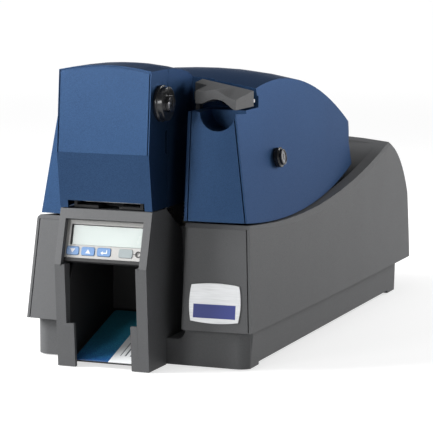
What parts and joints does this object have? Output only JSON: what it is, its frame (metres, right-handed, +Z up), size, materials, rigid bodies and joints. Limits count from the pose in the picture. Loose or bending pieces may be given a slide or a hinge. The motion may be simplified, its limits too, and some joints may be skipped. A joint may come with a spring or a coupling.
{
  "type": "card printer",
  "caption": "Desktop printer for plastic cards with a locked hopper tower in front, key and display panel, output bin and a hinged main cover over a geared print engine.",
  "frame": {"origin": "middle of the footprint, on the desk", "axes": "+X to the machine's right seen from the front, +Y to the back, +Z up"},
  "size_m": [0.2018, 0.4684, 0.2421],
  "materials": {
    "black_plastic": "satin",
    "grey_plastic": "textured",
    "blue_paint": "metallic gloss",
    "silver_plate": "brushed",
    "silver_panel": "satin",
    "screen": "satin",
    "blue_key": "satin",
    "grey_key": "satin",
    "white_card": "gloss",
    "rubber": "matte",
    "steel": "brushed",
    "chrome": "polished",
    "zinc_sheet": "satin",
    "gear_plastic": "satin",
    "circuit_board": "satin",
    "ribbon_film": "gloss",
    "cleaning_rubber": "matte",
    "brass": "satin"
  },
  "bodies": {
    "chassis": {"base_tray": "grey_plastic", "rubber_feet": "rubber", "lower_housing": "grey_plastic", "front_fascia": "grey_plastic", "badge_plate": "silver_plate", "tower_bezel": "grey_plastic", "output_tray": "black_plastic", "printed_card": "white_card", "display_housing": "black_plastic", "display_panel": "silver_panel", "lcd_screen": "screen", "display_board": "circuit_board", "hopper_shell": "blue_paint", "hopper_liner": "black_plastic", "hopper_hinge_pin": "steel", "cover_hinge_pins": "steel", "hinge_brackets": "zinc_sheet", "latch_keeper": "steel", "side_frame_left": "zinc_sheet", "side_frame_right": "zinc_sheet", "card_track": "black_plastic", "idler_studs": "steel", "drive_motor": "black_plastic", "motor_bracket": "zinc_sheet", "magnetic_head": "steel", "main_board": "circuit_board", "power_supply": "zinc_sheet", "power_inlet": "black_plastic", "interface_ports": "steel"},
    "cover": {"cover_shell": "blue_paint", "cover_front_panel": "blue_paint", "cover_lock_body": "black_plastic", "cover_hinge_arms": "zinc_sheet", "print_head": "steel", "print_head_bracket": "zinc_sheet", "latch_pin": "steel"},
    "cover_lock": {"cover_lock_plug": "chrome"},
    "latch": {"latch_lever": "grey_plastic"},
    "hopper_door": {"hopper_door": "blue_paint", "hopper_lock_body": "black_plastic"},
    "hopper_lock": {"hopper_lock_plug": "chrome"},
    "weight": {"card_weight": "zinc_sheet"},
    "down_key": {"key_down": "blue_key"},
    "up_key": {"key_up": "blue_key"},
    "enter_key": {"key_enter": "blue_key"},
    "cancel_key": {"key_cancel": "grey_key"},
    "switch_rocker": {"power_switch": "black_plastic"},
    "platen": {"platen_roller": "rubber"},
    "pick": {"pick_roller": "rubber"},
    "front_roller": {"front_transport_roller": "rubber"},
    "rear_roller": {"rear_transport_roller": "rubber"},
    "cleaner": {"cleaning_roller": "cleaning_rubber"},
    "pinch": {"pinch_roller": "rubber"},
    "hopper_idler": {"hopper_idler_gear": "gear_plastic"},
    "front_idler": {"front_idler_gear": "gear_plastic"},
    "rear_idler": {"rear_idler_gear": "gear_plastic"},
    "pinion": {"motor_pinion": "brass"},
    "supply_spool": {"ribbon_supply_spool": "ribbon_film"},
    "takeup_spool": {"ribbon_takeup_spool": "ribbon_film"}
  },
  "joints": [
    {"name": "cover_hinge", "type": "hinge", "parent": "chassis", "child": "cover", "pos_m": [0, 0.0998, 0.124], "axis": [-1, 0, 0], "range_deg": [0, 50]},
    {"name": "cover_lock_turn", "type": "hinge", "parent": "cover", "child": "cover_lock", "pos_m": [0.08175, -0.0992, 0.1604], "axis": [-0.9893, 0, -0.1461], "range_deg": [0, 90]},
    {"name": "latch_lift", "type": "hinge", "parent": "cover", "child": "latch", "pos_m": [0, -0.1357, 0.21], "axis": [-1, 0, 0], "range_deg": [0, 25], "stiffness_Nm_per_rad": 0.04, "springref_deg": -8.59},
    {"name": "hopper_door_hinge", "type": "hinge", "parent": "chassis", "child": "hopper_door", "pos_m": [-0.0569, -0.1912, 0.18], "axis": [0, 0, -1], "range_deg": [0, 90]},
    {"name": "hopper_lock_turn", "type": "hinge", "parent": "hopper_door", "child": "hopper_lock", "pos_m": [0.0233, -0.2057, 0.212], "axis": [1, 0, 0], "range_deg": [0, 90]},
    {"name": "weight_slide", "type": "slide", "parent": "chassis", "child": "weight", "axis": [0, 0, 1], "range_m": [0, 0.085]},
    {"name": "down_key_press", "type": "slide", "parent": "chassis", "child": "down_key", "axis": [0, 0.9603, -0.2791], "range_m": [0, 0.0008], "stiffness_N_per_m": 350, "springref_m": -0.0004},
    {"name": "up_key_press", "type": "slide", "parent": "chassis", "child": "up_key", "axis": [0, 0.9603, -0.2791], "range_m": [0, 0.0008], "stiffness_N_per_m": 350, "springref_m": -0.0004},
    {"name": "enter_key_press", "type": "slide", "parent": "chassis", "child": "enter_key", "axis": [0, 0.9603, -0.2791], "range_m": [0, 0.0008], "stiffness_N_per_m": 350, "springref_m": -0.0004},
    {"name": "cancel_key_press", "type": "slide", "parent": "chassis", "child": "cancel_key", "axis": [0, 0.9603, -0.2791], "range_m": [0, 0.0008], "stiffness_N_per_m": 350, "springref_m": -0.0004},
    {"name": "power_switch_rock", "type": "hinge", "parent": "chassis", "child": "switch_rocker", "pos_m": [0.0675, 0.2293, 0.057], "axis": [1, 0, 0], "range_deg": [0, 22]},
    {"name": "platen_spin", "type": "hinge", "parent": "chassis", "child": "platen", "pos_m": [0, -0.0322, 0.122], "axis": [1, 0, 0], "continuous": true},
    {"name": "pick_spin", "type": "hinge", "parent": "chassis", "child": "pick", "pos_m": [0, -0.1602, 0.122], "axis": [1, 0, 0], "continuous": true},
    {"name": "front_roller_spin", "type": "hinge", "parent": "chassis", "child": "front_roller", "pos_m": [0, -0.1002, 0.122], "axis": [1, 0, 0], "continuous": true},
    {"name": "rear_roller_spin", "type": "hinge", "parent": "chassis", "child": "rear_roller", "pos_m": [0, 0.0358, 0.122], "axis": [1, 0, 0], "continuous": true},
    {"name": "hopper_idler_spin", "type": "hinge", "parent": "chassis", "child": "hopper_idler", "pos_m": [0, -0.1302, 0.122], "axis": [1, 0, 0], "continuous": true},
    {"name": "front_idler_spin", "type": "hinge", "parent": "chassis", "child": "front_idler", "pos_m": [0, -0.0702, 0.122], "axis": [1, 0, 0], "continuous": true},
    {"name": "rear_idler_spin", "type": "hinge", "parent": "chassis", "child": "rear_idler", "pos_m": [0, 0.0058, 0.122], "axis": [1, 0, 0], "continuous": true},
    {"name": "pinion_spin", "type": "hinge", "parent": "chassis", "child": "pinion", "pos_m": [0, -0.0322, 0.096], "axis": [1, 0, 0], "continuous": true},
    {"name": "takeup_spool_spin", "type": "hinge", "parent": "chassis", "child": "takeup_spool", "pos_m": [0, 0.0218, 0.16725], "axis": [1, 0, 0], "continuous": true},
    {"name": "supply_spool_spin", "type": "hinge", "parent": "chassis", "child": "supply_spool", "pos_m": [0, -0.0822, 0.178], "axis": [1, 0, 0], "continuous": true},
    {"name": "cleaner_spin", "type": "hinge", "parent": "chassis", "child": "cleaner", "pos_m": [0, -0.1002, 0.1398], "axis": [1, 0, 0], "continuous": true},
    {"name": "pinch_spin", "type": "hinge", "parent": "chassis", "child": "pinch", "pos_m": [0, 0.0358, 0.1388], "axis": [1, 0, 0], "continuous": true}
  ],
  "couplings": [
    {"joint": "pick_spin", "follows": "platen_spin", "ratio": 1.6667},
    {"joint": "front_roller_spin", "follows": "platen_spin", "ratio": 1.6667},
    {"joint": "rear_roller_spin", "follows": "platen_spin", "ratio": 1.6667},
    {"joint": "hopper_idler_spin", "follows": "platen_spin", "ratio": -1.1111},
    {"joint": "front_idler_spin", "follows": "platen_spin", "ratio": -1.1111},
    {"joint": "rear_idler_spin", "follows": "platen_spin", "ratio": -1.1111},
    {"joint": "pinion_spin", "follows": "platen_spin", "ratio": -3.3333},
    {"joint": "takeup_spool_spin", "follows": "platen_spin", "ratio": 0.66667}
  ]
}
